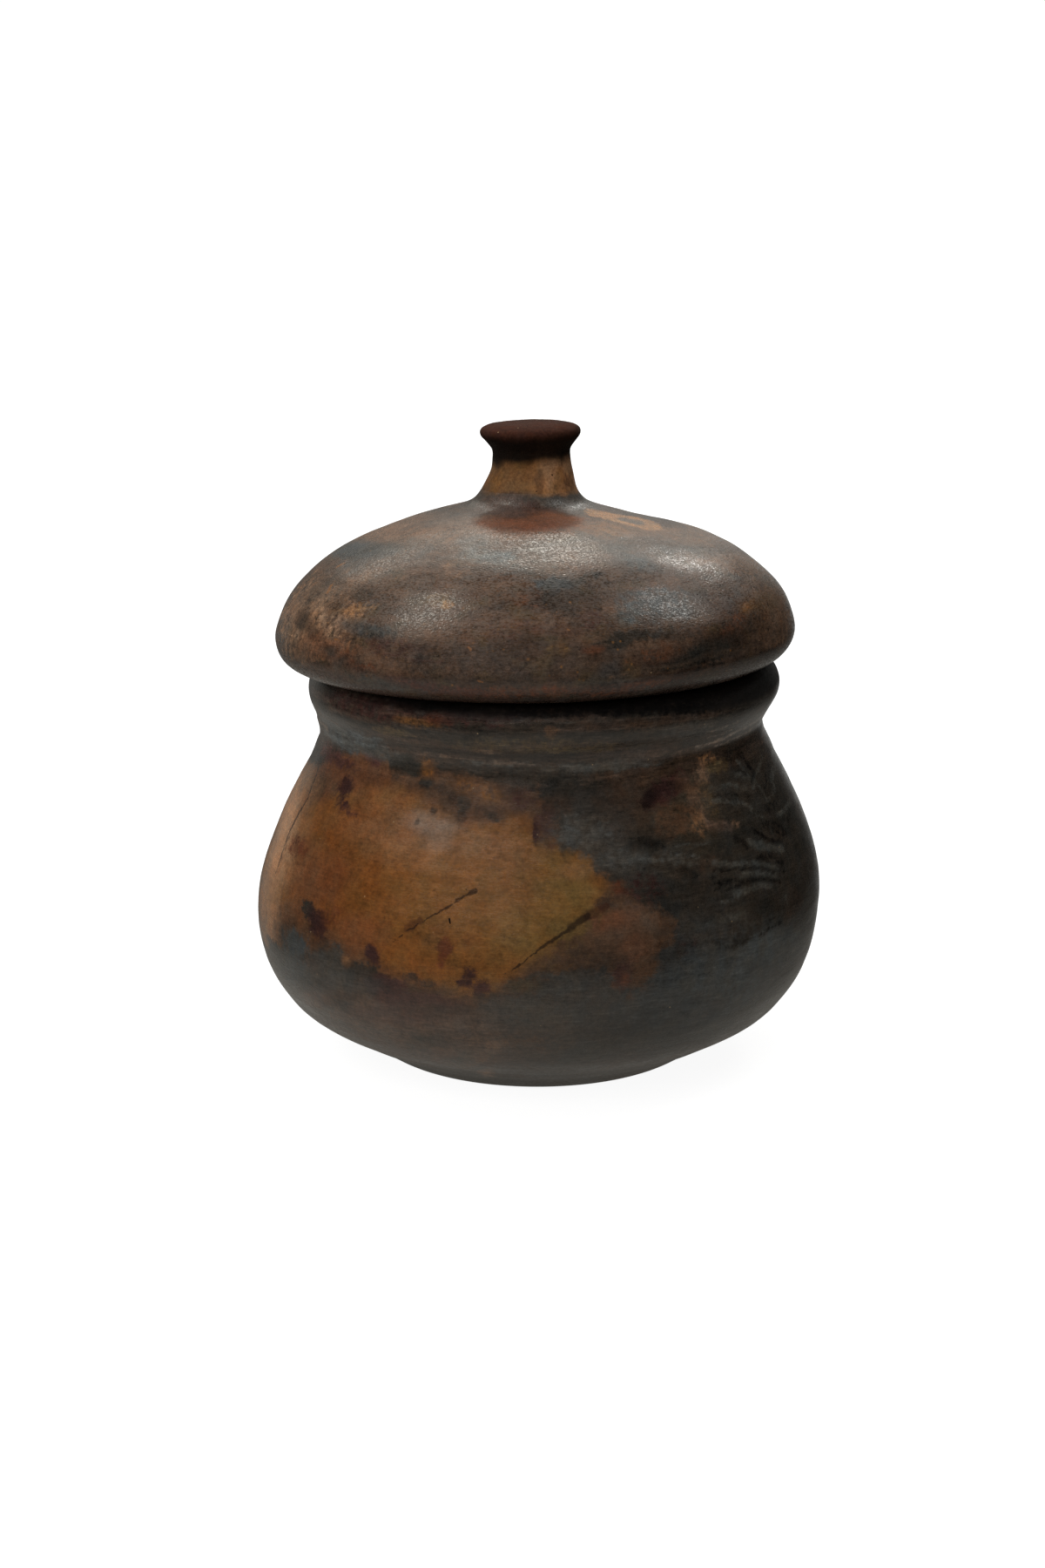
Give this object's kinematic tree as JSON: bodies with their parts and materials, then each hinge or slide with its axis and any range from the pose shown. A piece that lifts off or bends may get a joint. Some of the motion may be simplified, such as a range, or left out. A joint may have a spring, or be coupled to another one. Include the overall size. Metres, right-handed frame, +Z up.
{
  "type": "lidded earthenware pot",
  "caption": "Round-bellied burnished earthenware cooking pot with a turned-out rim and a loose domed lid with a knob that lifts off.",
  "frame": {"origin": "centre of the flat foot, on the surface that the pot stands on", "axes": "+Z up, along the axis of the pot and the lid; +X to the right and +Y away from the viewer in the picture"},
  "size_m": [0.2106, 0.2106, 0.235],
  "materials": {
    "pot_clay": "burnished, open-fired earthenware with ochre, brown and smoke-black fire clouds",
    "lid_clay": "burnished, open-fired earthenware, grey-brown with red-brown and smoke-black clouds and ochre flecks"
  },
  "bodies": {
    "pot": {"pot_body": "pot_clay", "pot_rim": "pot_clay"},
    "lid": {"lid_dome": "lid_clay", "lid_knob": "lid_clay", "lid_locating_ring": "lid_clay"}
  },
  "joints": [
    {"name": "lid_lift", "type": "slide", "parent": "pot", "child": "lid", "axis": [0, 0, 1], "range_m": [0, 0.12]}
  ]
}
